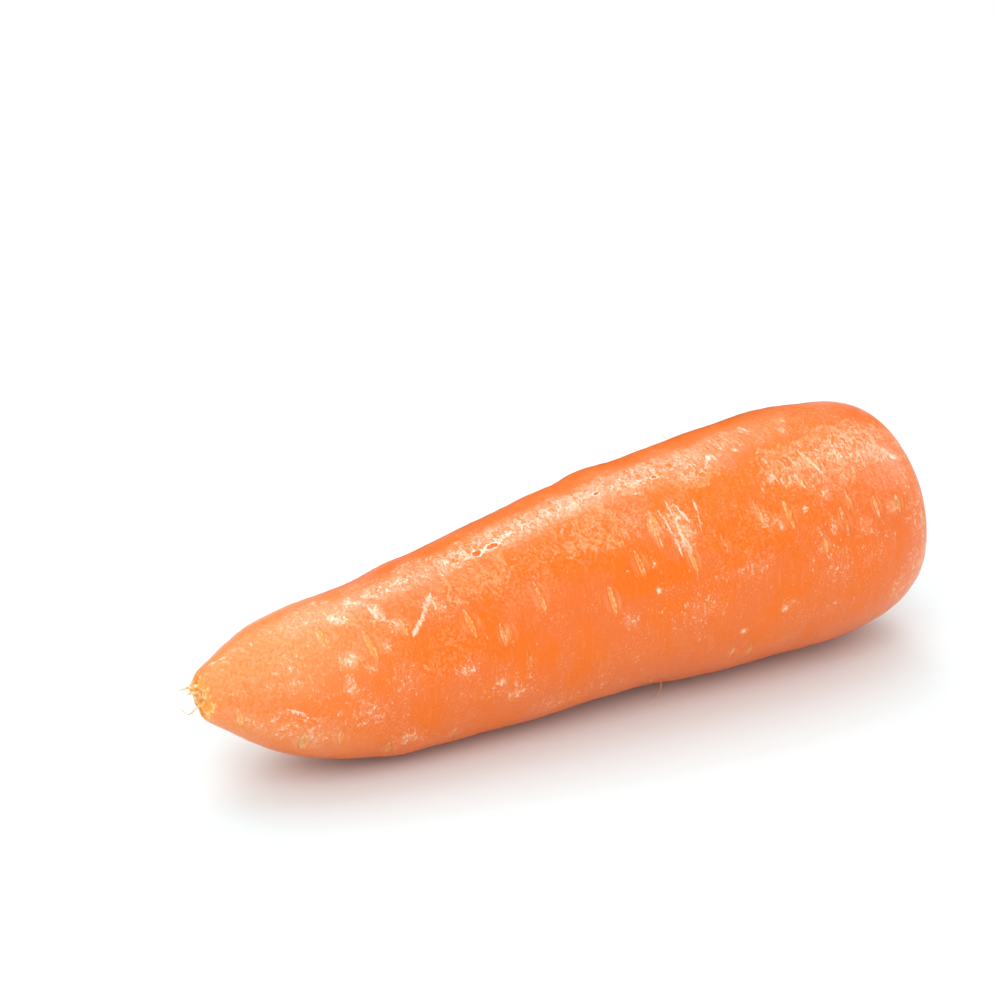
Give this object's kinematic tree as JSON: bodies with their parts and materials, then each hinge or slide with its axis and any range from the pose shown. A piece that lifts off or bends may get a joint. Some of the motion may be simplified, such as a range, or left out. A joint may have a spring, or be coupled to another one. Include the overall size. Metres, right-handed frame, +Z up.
{
  "type": "carrot",
  "caption": "Whole carrot root without leaves, a blunt taper with a full shoulder, lying on its belly.",
  "frame": {"origin": "middle of the bounding box in X and Y, on the surface that the root lies on", "axes": "+Z up, +X along the root from the tip to the crown"},
  "size_m": [0.1738, 0.052, 0.0525],
  "materials": {
    "carrot_skin": "damp orange root skin with pale cross scars and fine pale scuffs"
  },
  "bodies": {
    "root": {"carrot_root": "carrot_skin"}
  },
  "joints": []
}
